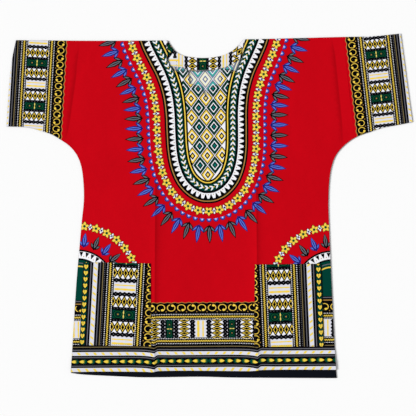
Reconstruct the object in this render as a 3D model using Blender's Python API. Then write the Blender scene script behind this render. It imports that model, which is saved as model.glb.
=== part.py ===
"""Dashiki shirt laid flat: a back panel, a front panel on it, a neck facing and two patch pockets.

Both panels are cut in one with their sleeves. The tables below hold real millimetres: X runs across
the sleeves, Y from the hem towards the neck, and Z up from the table that the back lies on. A mesh
gets metres. Each piece is a closed wall of cloth, and what lies on a panel is made from its points.
"""
from collections import namedtuple

import bmesh
import bpy
import numpy as np
from mathutils import Vector
from mathutils.geometry import delaunay_2d_cdt

MM = 0.001

# Driving sizes, in millimetres
CLOTH = 1.0             # wall of one layer of printed cotton
GAP = 0.3               # clearance between pieces that touch
HEM_TURN = 0.8          # what the turned-up hem adds to a panel's wall
HEM_DEPTH = 20.0        # height of the turned-up hem
HEM_SLOPE = 5.0         # height over which the turned hem fades into one layer
FACING = 0.8            # wall of the neck facing
POCKET = 0.9            # wall of a patch pocket
LOFT = 2.0              # air between front and back, away from the seams
LOFT_REACH = 55.0       # distance from a seam over which the front rises to its loft
WAVE = 0.35             # height of the cloth's slow unevenness
GRID = 19.0             # spacing of the points inside a panel
CURVE_STEP = 12.0       # longest piece of a curved edge
NECK_FULL = 10.0        # the front lies on the facing up to this far from its neck edge
NECK_FREE = 34.0        # and has come down to the back this far from it

Spot = namedtuple("Spot", "x y")
Crease = namedtuple("Crease", "name x_top y_top x_end y_end height left right")

# Edges of the panels, each a smooth curve through its rows. Corners are where two edges meet.
CUFF_LEFT = [
    Spot(-445.1, 379.4),
    Spot(-454.3, 333.8),
    Spot(-461.2, 269.4),
    Spot(-466.9, 181.4),
]
SIDE_LEFT = [
    Spot(-466.9, 181.4),
    Spot(-417.5, 179.1),
    Spot(-389.9, 171.7),
    Spot(-362.3, 162.5),
    Spot(-339.3, 148.7),
    Spot(-320.9, 135.4),
    Spot(-304.8, 115.3),
    Spot(-294.4, 87.7),
    Spot(-289.6, 48.6),
    Spot(-288.9, 10.0),
    Spot(-293.3, -34.2),
    Spot(-299.0, -98.6),
    Spot(-307.1, -195.2),
    Spot(-318.6, -384.0),
]
SIDE_RIGHT = [
    Spot(291.0, -378.5),
    Spot(286.4, -301.0),
    Spot(279.5, -153.8),
    Spot(274.6, -40.0),
    Spot(273.4, 10.0),
    Spot(275.4, 55.0),
    Spot(280.5, 88.0),
    Spot(289.5, 113.0),
    Spot(302.5, 130.3),
    Spot(320.0, 146.0),
    Spot(341.6, 159.0),
    Spot(369.2, 168.7),
    Spot(396.8, 178.0),
    Spot(424.4, 183.2),
    Spot(466.9, 191.2),
]
CUFF_RIGHT = [
    Spot(466.9, 191.2),
    Spot(460.6, 235.0),
    Spot(454.3, 281.0),
    Spot(447.4, 333.8),
    Spot(439.3, 394.8),
]
SHOULDER_RIGHT = [
    Spot(439.3, 394.8),
    Spot(410.6, 391.5),
    Spot(369.2, 387.9),
    Spot(300.2, 386.7),
    Spot(189.8, 383.8),
    Spot(78.2, 381.0),
]
SHOULDER_LEFT = [
    Spot(-96.6, 378.7),
    Spot(-270.0, 378.0),
    Spot(-445.1, 379.4),
]
BACK_NECK = [
    Spot(78.2, 381.0),
    Spot(65.6, 366.5),
    Spot(51.8, 354.5),
    Spot(36.0, 346.0),
    Spot(10.4, 340.2),
    Spot(-17.3, 338.4),
    Spot(-46.0, 340.8),
    Spot(-66.0, 346.0),
    Spot(-81.0, 356.5),
    Spot(-96.6, 378.7),
]
FRONT_NECK_RIGHT = [
    Spot(78.2, 381.0),
    Spot(76.8, 360.0),
    Spot(72.5, 338.4),
    Spot(61.2, 307.2),
]
FRONT_NECK_TAB_RIGHT = [
    Spot(61.2, 307.2),
    Spot(44.0, 312.5),
    Spot(27.0, 314.0),
]
FRONT_SLIT_RIGHT = [
    Spot(27.0, 314.0),
    Spot(26.5, 279.0),
]
FRONT_SLIT_FOOT_RIGHT = [
    Spot(26.5, 279.0),
    Spot(-0.5, 272.7),
    Spot(-8.1, 247.6),
]
FRONT_SLIT_FOOT_LEFT = [
    Spot(-8.1, 247.6),
    Spot(-20.7, 272.7),
    Spot(-46.5, 279.0),
]
FRONT_SLIT_LEFT = [
    Spot(-46.5, 279.0),
    Spot(-49.5, 310.0),
]
FRONT_NECK_TAB_LEFT = [
    Spot(-49.5, 310.0),
    Spot(-64.0, 311.6),
    Spot(-80.5, 308.4),
]
FRONT_NECK_LEFT = [
    Spot(-80.5, 308.4),
    Spot(-90.9, 322.3),
    Spot(-96.8, 345.0),
    Spot(-96.6, 378.7),
]
BACK_HEM = [
    Spot(-318.6, -384.0),
    Spot(-288.7, -387.9),
    Spot(-205.9, -391.8),
    Spot(-141.5, -393.9),
    Spot(-21.9, -392.3),
    Spot(70.2, -394.1),
    Spot(292.5, -394.8),
]
FRONT_HEM = [
    Spot(-318.6, -384.0),
    Spot(-251.9, -382.6),
    Spot(-145.0, -383.1),
    Spot(-132.3, -384.0),
    Spot(-118.5, -381.5),
    Spot(-44.9, -380.5),
    Spot(93.2, -381.5),
    Spot(113.9, -379.2),
    Spot(185.2, -378.2),
    Spot(291.0, -378.5),
]

# The facing's lower edge, and its two ends, which run in under the front
FACING_EDGE = [
    Spot(-106.0, 330.0),
    Spot(-89.5, 320.0),
    Spot(-59.8, 317.0),
    Spot(-49.0, 309.2),
    Spot(-15.4, 307.9),
    Spot(14.5, 311.8),
    Spot(34.7, 317.3),
    Spot(48.1, 322.6),
    Spot(74.8, 338.9),
    Spot(86.0, 350.0),
]
FACING_END_RIGHT = Spot(87.0, 378.0)
FACING_END_LEFT = Spot(-105.0, 376.0)

# Patch pockets, by their corners from the mouth's left end round to its right end
POCKET_LEFT = [
    Spot(-289.8, -131.2),
    Spot(-299.0, -321.7),
    Spot(-134.6, -324.0),
    Spot(-135.2, -134.0),
]
POCKET_RIGHT = [
    Spot(104.2, -136.5),
    Spot(102.8, -325.8),
    Spot(263.6, -324.6),
    Spot(257.1, -134.9),
]

# Pressed creases of the front. A height above 0 is a ridge, and one below 0 is a valley. Left and
# right are the widths of the crease's two flanks.
CREASES = [
    Crease("sleeve_left", -296.0, 375.0, -327.0, 158.0, -1.6, 7.0, 20.0),
    Crease("sleeve_right", 285.2, 384.0, 309.4, 148.0, -1.6, 7.0, 20.0),
    Crease("body_left", -124.2, 60.0, -127.0, -384.0, 2.2, 34.0, 8.0),
    Crease("body_right", 107.0, 60.0, 112.0, -380.0, 2.2, 34.0, 8.0),
    Crease("chest_left", -286.0, 90.0, -170.0, 88.0, -0.8, 6.0, 4.0),
    Crease("waist", -280.0, -117.0, 265.0, -116.0, 0.6, 12.0, 9.0),
]
CREASE_FADE = 60.0      # length over which a crease dies out at its ends


def smooth_curve(spots, step=CURVE_STEP):
    """Points along a smooth curve through the spots, no further apart than the step."""
    ends = [spots[0], *spots, spots[-1]]
    points = []
    for before, start, finish, after in zip(ends, ends[1:], ends[2:], ends[3:]):
        length = float(np.hypot(finish.x - start.x, finish.y - start.y))
        pieces = max(1, round(length / step))
        for t in np.arange(pieces) / pieces:
            weights = (
                -0.5 * t**3 + t**2 - 0.5 * t,
                1.5 * t**3 - 2.5 * t**2 + 1.0,
                -1.5 * t**3 + 2.0 * t**2 + 0.5 * t,
                0.5 * t**3 - 0.5 * t**2,
            )
            corners = (before, start, finish, after)
            x = sum(w * spot.x for w, spot in zip(weights, corners))
            y = sum(w * spot.y for w, spot in zip(weights, corners))
            points.append((x, y))
    points.append((spots[-1].x, spots[-1].y))
    return points


def straight(spots, step=GRID):
    """Points along straight runs between the spots."""
    points = []
    for start, finish in zip(spots, spots[1:]):
        pieces = max(1, round(float(np.hypot(finish[0] - start[0], finish[1] - start[1])) / step))
        for t in np.arange(pieces) / pieces:
            points.append((start[0] + (finish[0] - start[0]) * t, start[1] + (finish[1] - start[1]) * t))
    points.append((spots[-1][0], spots[-1][1]))
    return points


def joined(*edges):
    """One closed outline from edges that follow on from each other, with a corner where two don't meet."""
    points = []
    for edge, following in zip(edges, [*edges[1:], edges[0]]):
        points += edge[:-1] if edge[-1] == following[0] else edge
    return np.array(points)


def distance_to(points, line):
    """Distance from each point to a line of points."""
    line = np.asarray(line)
    nearest = np.full(len(points), np.inf)
    for start, finish in zip(line, line[1:]):
        along = finish - start
        t = np.clip((points - start) @ along / max(along @ along, 1e-12), 0.0, 1.0)
        nearest = np.minimum(nearest, np.hypot(*(points - start - t[:, None] * along).T))
    return nearest


def inside(points, outline):
    """True for each point inside a closed outline."""
    hits = np.zeros(len(points), bool)
    for (x1, y1), (x2, y2) in zip(outline, np.roll(outline, -1, axis=0)):
        if y1 == y2:
            continue
        level = (points[:, 1] >= min(y1, y2)) & (points[:, 1] < max(y1, y2))
        crossing = x1 + (points[:, 1] - y1) * (x2 - x1) / (y2 - y1)
        hits ^= level & (points[:, 0] < crossing)
    return hits


def fade(value, full, none):
    """1 where the value is at most full, 0 from none on, and a smooth step between them."""
    t = np.clip((value - full) / (none - full), 0.0, 1.0)
    return 1.0 - t * t * (3.0 - 2.0 * t)


# Edges of both panels as points
SIDES = {
    "cuff_left": smooth_curve(CUFF_LEFT),
    "side_left": smooth_curve(SIDE_LEFT),
    "side_right": smooth_curve(SIDE_RIGHT),
    "cuff_right": smooth_curve(CUFF_RIGHT),
    "shoulder_right": smooth_curve(SHOULDER_RIGHT, GRID),
    "shoulder_left": smooth_curve(SHOULDER_LEFT, GRID),
}
NECK_OF_BACK = smooth_curve(BACK_NECK)
NECK_OF_FRONT = [
    *smooth_curve(FRONT_NECK_RIGHT)[:-1],
    *smooth_curve(FRONT_NECK_TAB_RIGHT)[:-1],
    *smooth_curve(FRONT_SLIT_RIGHT)[:-1],
    *straight(FRONT_SLIT_FOOT_RIGHT, CURVE_STEP)[:-1],
    *straight(FRONT_SLIT_FOOT_LEFT, CURVE_STEP)[:-1],
    *smooth_curve(FRONT_SLIT_LEFT)[:-1],
    *smooth_curve(FRONT_NECK_TAB_LEFT)[:-1],
    *smooth_curve(FRONT_NECK_LEFT),
]
HEM_OF_BACK = smooth_curve(BACK_HEM)
HEM_OF_FRONT = smooth_curve(FRONT_HEM)


def panel_outline(neck, hem):
    """Closed outline of a panel, round from the left cuff."""
    return joined(
        SIDES["cuff_left"],
        SIDES["side_left"],
        hem,
        SIDES["side_right"],
        SIDES["cuff_right"],
        SIDES["shoulder_right"],
        neck,
        SIDES["shoulder_left"],
    )


def hem_thickness(points, hem):
    """Wall of a panel: one layer of cloth, and the turned-up hem along the bottom."""
    height = distance_to(points, hem)
    return CLOTH + HEM_TURN * fade(height, HEM_DEPTH, HEM_DEPTH + HEM_SLOPE)


def crease_relief(points):
    """Height that the pressed creases add at each point."""
    relief = np.zeros(len(points))
    for crease in CREASES:
        start = np.array([crease.x_top, crease.y_top])
        run = np.array([crease.x_end, crease.y_end]) - start
        length = np.hypot(*run)
        along = (points - start) @ run / length
        # Positive across is to the right of a crease that runs down, and below one that runs across
        across = (points - start) @ np.array([-run[1], run[0]]) / length
        flank = np.where(across < 0.0, crease.left, crease.right)
        ends = fade(-along, 0.0, CREASE_FADE) * fade(along - length, 0.0, CREASE_FADE)
        relief += crease.height * ends * np.exp(-np.abs(across) / flank)
    return relief


def slow_waves(points):
    """The cloth's slow unevenness, from a few crossing waves."""
    x, y = points.T
    waves = np.sin(x / 61.0 + y / 97.0) + np.sin(y / 49.0 - x / 133.0 + 1.3) + np.sin(x / 35.0 - y / 58.0 + 0.6)
    return WAVE * waves / 1.5


def front_underside(points):
    """Height of the front's inner face: on the back at the seams, and lofted between them."""
    seams = [SIDES[name] for name in ("cuff_left", "side_left", "side_right", "cuff_right")]
    seams += [SIDES["shoulder_right"], SIDES["shoulder_left"]]
    from_seam = np.min([distance_to(points, seam) for seam in seams], axis=0)
    from_hem = distance_to(points, HEM_OF_FRONT)
    free = (1.0 - np.exp(-from_seam / LOFT_REACH)) * (1.0 - fade(from_hem, HEM_DEPTH, 90.0))
    edge = 1.0 - np.exp(-from_seam / 14.0)
    soft = free * LOFT + edge * (crease_relief(points) + free * slow_waves(points))
    on_facing = fade(distance_to(points, NECK_OF_FRONT), NECK_FULL, NECK_FREE)
    soft = np.maximum(soft, on_facing * (FACING + GAP))
    on_hem = fade(distance_to(points, HEM_OF_BACK), HEM_DEPTH + 2.0, HEM_DEPTH + 22.0)
    return CLOTH + GAP + np.maximum(soft, 0.0) + on_hem * HEM_TURN


def triangulate(outline, lines, spacing=GRID):
    """Points and triangles of a flat panel, with each line's points joined by edges of the mesh."""
    rings = [np.vstack([outline, outline[:1]]), *[np.asarray(line) for line in lines]]
    coords = []
    edges = []
    for ring in rings:
        edges += [(len(coords) + i, len(coords) + i + 1) for i in range(len(ring) - 1)]
        coords += [tuple(point) for point in ring]
    low = outline.min(axis=0)
    high = outline.max(axis=0)
    rows = []
    for number, y in enumerate(np.arange(low[1], high[1], spacing * 0.87)):
        x = np.arange(low[0] + (number % 2) * spacing / 2.0, high[0], spacing)
        rows.append(np.column_stack([x, np.full(len(x), y)]))
    grid = np.vstack(rows)
    grid = grid[inside(grid, outline)]
    clear = np.min([distance_to(grid, ring) for ring in rings], axis=0)
    grid = grid[clear > 0.42 * spacing]
    coords += [tuple(point) for point in grid]
    found = delaunay_2d_cdt([Vector(point) for point in coords], edges, [], 0, 1e-4)
    points = np.array([tuple(point) for point in found[0]])
    triangles = np.array([tuple(face) for face in found[2]])
    middles = points[triangles].mean(axis=1)
    return points, triangles[inside(middles, outline)]


def patch_of(points, triangles, outline):
    """The triangles of a panel that lie inside a patch's outline, with their own points."""
    chosen = triangles[inside(points[triangles].mean(axis=1), outline)]
    used = np.unique(chosen)
    renumber = np.full(len(points), -1)
    renumber[used] = np.arange(len(used))
    return points[used], renumber[chosen]


def cloth_material(name, rgb):
    """Plain printed cotton of one main colour."""
    material = bpy.data.materials.new(name)
    material.use_nodes = True
    shader = material.node_tree.nodes["Principled BSDF"]
    shader.inputs["Base Color"].default_value = (*rgb, 1.0)
    shader.inputs["Roughness"].default_value = 0.85
    shader.inputs["Metallic"].default_value = 0.0
    return material


def add_wall(name, points, triangles, under, over, rgb):
    """A closed wall of cloth between two heights at each of its points."""
    build = bmesh.new()
    verts = [build.verts.new((x * MM, y * MM, z * MM)) for (x, y), z in zip(points, under)]
    for triangle in triangles:
        build.faces.new([verts[index] for index in triangle])
    tops = {vert: z * MM for vert, z in zip(verts, over)}
    raised = bmesh.ops.extrude_face_region(build, geom=build.faces[:])
    lifted = [item for item in raised["geom"] if isinstance(item, bmesh.types.BMVert)]
    top_at = {(round(v.co.x, 7), round(v.co.y, 7)): top for v, top in tops.items()}
    for vert in lifted:
        vert.co.z = top_at[(round(vert.co.x, 7), round(vert.co.y, 7))]
    bmesh.ops.triangulate(build, faces=build.faces[:])
    bmesh.ops.recalc_face_normals(build, faces=build.faces[:])
    mesh = bpy.data.meshes.new(name)
    build.to_mesh(mesh)
    build.free()
    mesh.materials.append(cloth_material(name, rgb))
    mesh.shade_smooth()
    mesh.set_sharp_from_angle(angle=0.6)
    piece = bpy.data.objects.new(name, mesh)
    bpy.context.scene.collection.objects.link(piece)
    return piece


def crease_lines():
    """Lines of mesh edges along the creases and the feet of their flanks."""
    lines = []
    for crease in CREASES:
        start = np.array([crease.x_top, crease.y_top])
        finish = np.array([crease.x_end, crease.y_end])
        run = (finish - start) / np.hypot(*(finish - start))
        across = np.array([-run[1], run[0]])
        for offset in (-crease.left, 0.0, crease.right):
            lines.append(straight([start + across * offset, finish + across * offset]))
    return lines


def clipped(lines, outline, margin=3.0):
    """The stretches of lines that lie inside an outline and clear of it."""
    ring = np.vstack([outline, outline[:1]])
    kept = []
    for line in lines:
        line = np.asarray(line)
        good = inside(line, outline) & (distance_to(line, ring) > margin)
        stretch = []
        for point, is_good in zip(line, good):
            if is_good:
                stretch.append(tuple(point))
                continue
            if len(stretch) > 1:
                kept.append(stretch)
            stretch = []
        if len(stretch) > 1:
            kept.append(stretch)
    return kept


def hem_lines(hem):
    """Lines along the top of a turned-up hem, where its second layer ends."""
    lines = []
    for height in (HEM_DEPTH, HEM_DEPTH + HEM_SLOPE):
        lines.append([(x, y + height) for x, y in hem])
    return lines


def facing_outline():
    """Closed outline of the neck facing: the back's neckline and the facing's lower edge."""
    neck = [point for point in NECK_OF_BACK if FACING_END_LEFT.x < point[0] < FACING_END_RIGHT.x]
    lower = smooth_curve(FACING_EDGE)
    ends = [tuple(FACING_END_LEFT), *lower, tuple(FACING_END_RIGHT)]
    return np.array([*ends, *neck])


def make_back():
    """The back panel, flat on the table, and the neck facing that lies on it."""
    outline = panel_outline(NECK_OF_BACK, HEM_OF_BACK)
    facing = facing_outline()
    facing_ring = [*map(tuple, facing), tuple(facing[0])]
    lines = [*clipped(hem_lines(HEM_OF_BACK), outline), facing_ring]
    points, triangles = triangulate(outline, lines, GRID * 1.35)
    under = np.zeros(len(points))
    over = hem_thickness(points, HEM_OF_BACK)
    add_wall("back", points, triangles, under, over, (0.42, 0.01, 0.02))
    points, triangles = patch_of(points, triangles, facing)
    under = hem_thickness(points, HEM_OF_BACK) + GAP
    add_wall("neck_facing", points, triangles, under, under + FACING, (0.62, 0.58, 0.42))


def make_front():
    """The front panel, lofted over the back, and its two patch pockets."""
    outline = panel_outline(NECK_OF_FRONT, HEM_OF_FRONT)
    pockets = {"pocket_left": POCKET_LEFT, "pocket_right": POCKET_RIGHT}
    rings = {name: np.array(straight([*spots, spots[0]])) for name, spots in pockets.items()}
    lines = clipped([*crease_lines(), *hem_lines(HEM_OF_FRONT)], outline)
    points, triangles = triangulate(outline, [*lines, *rings.values()])
    under = front_underside(points)
    over = under + hem_thickness(points, HEM_OF_FRONT)
    add_wall("front", points, triangles, under, over, (0.53, 0.01, 0.02))
    for name, ring in rings.items():
        spots, faces = patch_of(points, triangles, ring[:-1])
        below = front_underside(spots) + hem_thickness(spots, HEM_OF_FRONT) + GAP
        add_wall(name, spots, faces, below, below + POCKET, (0.30, 0.27, 0.16))


def main():
    for old in list(bpy.data.objects):
        bpy.data.objects.remove(old)
    make_back()
    make_front()


main()
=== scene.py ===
"""Dashiki shirt laid flat: printed cotton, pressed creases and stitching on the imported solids."""
import math
from collections import namedtuple

import bpy
import numpy as np
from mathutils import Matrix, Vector
from mathutils.geometry import delaunay_2d_cdt


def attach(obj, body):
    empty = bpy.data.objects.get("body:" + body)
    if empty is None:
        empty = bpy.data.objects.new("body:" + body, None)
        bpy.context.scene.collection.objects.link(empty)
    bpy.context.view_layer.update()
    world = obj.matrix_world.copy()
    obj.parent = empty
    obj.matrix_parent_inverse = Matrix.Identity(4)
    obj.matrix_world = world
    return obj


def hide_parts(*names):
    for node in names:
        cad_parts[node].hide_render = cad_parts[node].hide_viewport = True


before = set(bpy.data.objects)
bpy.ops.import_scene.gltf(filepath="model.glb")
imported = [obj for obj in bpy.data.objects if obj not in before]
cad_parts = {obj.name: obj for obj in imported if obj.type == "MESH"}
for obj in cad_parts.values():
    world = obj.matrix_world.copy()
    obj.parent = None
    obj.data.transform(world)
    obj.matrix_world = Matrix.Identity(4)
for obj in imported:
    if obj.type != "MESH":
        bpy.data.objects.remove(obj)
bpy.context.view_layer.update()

# Tables and functions below are in millimetres, and a mesh gets metres
MM = 0.001

# Walls and relief, as the solids have them
CLOTH = 1.0
GAP = 0.3
HEM_TURN = 0.8
HEM_DEPTH = 20.0
HEM_SLOPE = 5.0
FACING = 0.8
POCKET = 0.9
LOFT = 2.0
LOFT_REACH = 55.0
SEAM_REACH = 14.0
HEM_FREE = 90.0
BACK_HEM_REACH = (22.0, 42.0)
NECK_FULL = 10.0
NECK_FREE = 34.0
CREASE_FADE = 60.0

# Slow rumples of the front: their height, then each wave's reach along x and y, and its start
WAVE = 0.35
WAVES = [(61.0, 97.0, 0.0), (-133.0, 49.0, 1.3), (35.0, -58.0, 0.6)]

# How far the back's hem hangs below its solid, at its left and right ends
HEM_ENDS = (-318.0, 292.0)
HEM_DROPS = (1.7, 3.0)

# Parts of the outlines: a panel's hem lies below a level, its neck in a box and its cuffs outside
# a line, and the facing and the pockets are stitched only below a level
HEM_LEVEL = -376.0
NECK_BOX = ((-97.5, 240.0), (79.0, 382.0))
CUFF_ACROSS = 440.0
CUFF_LEVEL = 165.0
FACING_LEVEL = 318.0
POCKET_TOP = 12.0

# The smallest shape of dye cut into a hidden side, and the box where the back's inside shows
SMALLEST_HIDDEN = 9.0
NECK_VIEW = ((-100.0, 270.0), (80.0, 400.0))

# Spacing of each piece's mesh and of its points along creases, and of the lines beside a crease.
# Grid rows are this share of the spacing apart, and keep this share clear of edges and lines.
BACK_MESH = 12.0
BACK_CREASE_MESH = 10.0
FRONT_MESH = 8.0
FRONT_CREASE_MESH = 7.0
FACING_MESH = 6.0
CREASE_CORE = 1.4
ROW_STEP = 0.87
CLEARANCE = 0.4
# Points closer together than this become one
MERGED = 1e-4

# How far a turned edge bulges, as a share of its thickness
EDGE_BULGE = 0.25

Crease = namedtuple("Crease", "name x_top y_top x_end y_end height left right")
Side = namedtuple("Side", "points triangles dyes rim")

# Pressed creases of the front: ridges above 0, valleys below 0, with the widths of their flanks
CREASES = [
    Crease("sleeve_left", -295.4, 375.0, -326.4, 158.0, -1.6, 7.0, 20.0),
    Crease("sleeve_right", 285.2, 384.0, 309.4, 148.0, -1.6, 7.0, 20.0),
    Crease("body_left", -124.2, 60.0, -127.0, -384.0, 2.0, 34.0, 7.5),
    Crease("body_right", 107.0, 60.0, 112.0, -380.0, 2.0, 34.0, 7.5),
    Crease("chest_left", -286.0, 90.0, -170.0, 88.0, -0.8, 6.0, 4.0),
    Crease("waist", -280.0, -117.0, 265.0, -116.0, 0.6, 12.0, 9.0),
]
# Sharper lines pressed along the same folds, and small ones too shallow for the solids
FINE_CREASES = [
    Crease("sleeve_left", -303.0, 375.0, -334.0, 158.0, 0.8, 20.0, 7.0),
    Crease("sleeve_right", 278.2, 384.0, 302.4, 148.0, 0.8, 20.0, 7.0),
    Crease("body_left", -124.2, 60.0, -127.0, -384.0, 0.5, 8.0, 3.0),
    Crease("body_right", 107.0, 60.0, 112.0, -380.0, 0.5, 8.0, 3.0),
    Crease("chest_left", -286.0, 90.0, -170.0, 88.0, -0.5, 3.0, 2.0),
    Crease("yoke_left", -74.8, 297.0, -51.8, 276.3, 0.5, 3.0, 3.0),
    Crease("yoke_right", 56.4, 292.4, 33.4, 278.7, 0.5, 3.0, 3.0),
    Crease("hem_left", -250.0, -300.0, -262.0, -372.0, -0.5, 6.0, 4.0),
    Crease("hem_right", 205.0, -290.0, 214.0, -374.0, 0.5, 7.0, 5.0),
    Crease("shoulder_left", -196.0, 372.0, -204.0, 190.0, 0.35, 9.0, 7.0),
    Crease("shoulder_right", 176.0, 378.0, 186.0, 170.0, -0.4, 9.0, 7.0),
]
# Creases pressed up into the back's right side, on the same folds and less even than the front's
BACK_CREASES = [
    Crease("sleeve_left", -298.0, 375.0, -322.0, 160.0, 0.4, 5.0, 9.0),
    Crease("sleeve_right", 282.0, 384.0, 312.0, 150.0, 0.45, 9.0, 5.0),
    Crease("body_left", -121.0, 330.0, -124.0, -390.0, 0.5, 11.0, 4.0),
    Crease("body_right", 104.0, 250.0, 109.0, -390.0, 0.45, 4.0, 12.0),
    Crease("waist", -270.0, -112.0, 255.0, -119.0, 0.3, 8.0, 6.0),
    Crease("chest", -150.0, 150.0, 190.0, 146.0, 0.25, 6.0, 9.0),
]
DEEPEST_IN_BACK = 0.6

# Each dye's colour on the right side of the cotton, and how it comes through on the wrong side
DYES = {
    "red": ("#C20413", "#CF7078"),
    "black": ("#040407", "#737890"),
    "white": ("#F2F2F7", "#E9EDF0"),
    "pale": ("#DCDCE6", "#E4E8EC"),
    "yellow": ("#F3D04E", "#EFEBC8"),
    "gold": ("#A98242", "#CFC6AE"),
    "bronze": ("#857650", "#C4C09A"),
    "straw": ("#E6D36A", "#F0ECCB"),
    "green": ("#003D32", "#2CA8A2"),
    "leaf": ("#0B4F2D", "#4DAF98"),
    "teal": ("#0B6A62", "#4FB8B2"),
    "lime": ("#A8A428", "#D5D8A8"),
    "navy": ("#1B1A6C", "#7C80B8"),
    "blue": ("#5A70CE", "#A9B4DE"),
    "grey": ("#66666F", "#A9ACB8"),
}
HEM_ALLOWANCE = "#0E1118"
# Painted shade: one dark colour for every edge wall of the cloth, in place of the print's dyes
EDGE_WALL_SHADE = "#3A2A30"

# Rows of the border along the cloth's selvedges with their widths, from its inner edge outwards
SIDE_BORDER = [
    ("scallops", 3.9), ("rings", 23.2), ("checks", 5.4), ("zigzag", 6.0), ("checks", 5.9),
    ("ladder", 45.4), ("checks", 6.2), ("zigzag", 5.6), ("checks", 5.6), ("dots", 5.6),
    ("bronze", 1.5), ("black", 4.4), ("grey", 1.7), ("black", 4.2), ("dashes", 9.4),
    ("black", 3.9), ("grey", 1.9), ("black", 2.5), ("hearts", 12.6), ("black", 9.0),
]

# Rows of the border above the hem, from the top down
HEM_BORDER = [
    ("scallops", 3.0), ("wide rings", 22.6), ("checks", 5.2), ("zigzag", 6.4), ("checks", 4.4),
    ("ladder", 39.9), ("checks", 4.8), ("zigzag", 6.4), ("checks", 5.4), ("black", 3.4),
    ("bronze", 1.4), ("black", 5.4), ("grey", 2.0), ("black", 3.2), ("wide dashes", 8.4),
    ("black", 3.4), ("grey", 1.7), ("black", 2.5), ("leaves", 12.2), ("black", 3.0),
    ("grey", 1.6), ("black", 3.5), ("wide dashes", 10.6), ("black", 20.0),
]

# Blocks of a ladder, with their lengths, over one repeat
SIDE_LADDER = [
    ("white", 19.5), ("beads", 6.6), ("lozenges", 21.5),
    ("green", 26.5), ("lozenges", 21.5), ("beads", 6.6),
]
HEM_LADDER = [
    ("turned white", 27.6), ("beads", 10.0), ("lozenges", 28.0), ("beads", 9.2),
    ("green", 21.5), ("beads", 9.2), ("lozenges", 28.0), ("beads", 10.0),
]
FACING_LADDER = [("turned white", 19.5), *SIDE_LADDER[1:]]


# Shapes of dye, as closed loops of points

def oval(x, y, across, up, sides=12):
    angles = np.arange(sides) * 2.0 * math.pi / sides
    return np.column_stack([x + across * np.cos(angles), y + up * np.sin(angles)])


def box(x_low, y_low, x_high, y_high):
    return np.array([(x_low, y_low), (x_high, y_low), (x_high, y_high), (x_low, y_high)])


def lozenge(x, y, across, up):
    return np.array([(x - across, y), (x, y - up), (x + across, y), (x, y + up)])


def leaf(x, y, length, width, turn=0.0, fullest=0.45):
    """A leaf from its stem at x, y, pointing along the turn in degrees."""
    run = np.array([0.0, 0.18, fullest, 0.78, 1.0, 0.78, fullest, 0.18])
    side = np.array([0.0, 0.34, 0.5, 0.3, 0.0, -0.3, -0.5, -0.34])
    return Place(x, y, turn).at(np.column_stack([run * length, side * width]))


class Place:
    """A spot on the cloth to draw at: its origin, its x axis's turn in degrees, scale and flip."""

    def __init__(self, x=0.0, y=0.0, turn=0.0, scale=1.0, flip=False):
        angle = math.radians(turn)
        along = np.array([math.cos(angle), math.sin(angle)]) * scale
        across = np.array([-along[1], along[0]]) * (-1.0 if flip else 1.0)
        self.axes = np.array([along, across])
        self.origin = np.array([x, y])

    def at(self, points):
        return np.asarray(points, float) @ self.axes + self.origin

    def spot(self, x, y, turn=0.0):
        """A place within this one."""
        found = Place(turn=turn)
        found.axes = found.axes @ self.axes
        found.origin = self.at([(x, y)])[0]
        return found


class Print:
    """Loops of dye in the order they are printed, and their dyes after the ground's."""

    def __init__(self, ground):
        self.loops = []
        self.dyes = [ground]

    def dye(self, colour, points, place=None):
        loop = place.at(points) if place else np.asarray(points, float)
        x, y = loop.T
        # The cutter wants each loop anticlockwise
        if x @ np.roll(y, -1) < y @ np.roll(x, -1):
            loop = loop[::-1]
        self.loops.append(loop)
        self.dyes.append(colour)

    def larger_shapes(self, full_box=None):
        """The print for a side that lies hidden: its large shapes, and all that touch one box."""
        found = Print(self.dyes[0])
        for loop, colour in zip(self.loops, self.dyes[1:]):
            low = loop.min(axis=0)
            high = loop.max(axis=0)
            is_kept = min(high - low) > SMALLEST_HIDDEN
            if full_box is not None:
                is_kept |= (high > full_box[0]).all() and (low < full_box[1]).all()
            if is_kept:
                found.loops.append(loop)
                found.dyes.append(colour)
        return found


def nested(cloth, spot, shape, layers):
    """Shapes of one kind round a spot, each a dye and its size, from the outermost in."""
    for colour, *size in layers:
        cloth.dye(colour, shape(0.0, 0.0, *size), spot)


def repeats(length, pitch):
    """Places along a row, a pitch apart, that reach over its whole length."""
    return np.arange(pitch / 2.0, length + pitch * 0.49, pitch)


# Rows of the borders. A row runs along x from 0 to its length, and its width runs along y.

WAVE_PITCH = 16.2
DOT_PITCH = 3.9
BRAID_PITCH = 4.0
DASH_PITCH = 12.9
WIDE_DASH_PITCH = 18.6
HEART_PITCH = 12.9
LEAF_PITCH = 19.1
# The left half of the cloth is a little eased, so its leaves lie closer
LEAF_EASE = 0.975


def scallops(cloth, place, length, width):
    """A wavy gold line between the ground and the border."""
    x = np.arange(0.0, length + 1.0, WAVE_PITCH / 6.0)
    wave = width * 0.28 * np.sin(x * 2.0 * math.pi / WAVE_PITCH)
    upper = np.column_stack([x, 0.25 * width + wave])
    lower = np.column_stack([x, 0.65 * width + wave])[::-1]
    cloth.dye("gold", np.vstack([upper, lower]), place)
    cloth.dye("red", np.vstack([upper, [(length, -4.0), (0.0, -4.0)]]), place)


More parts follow.
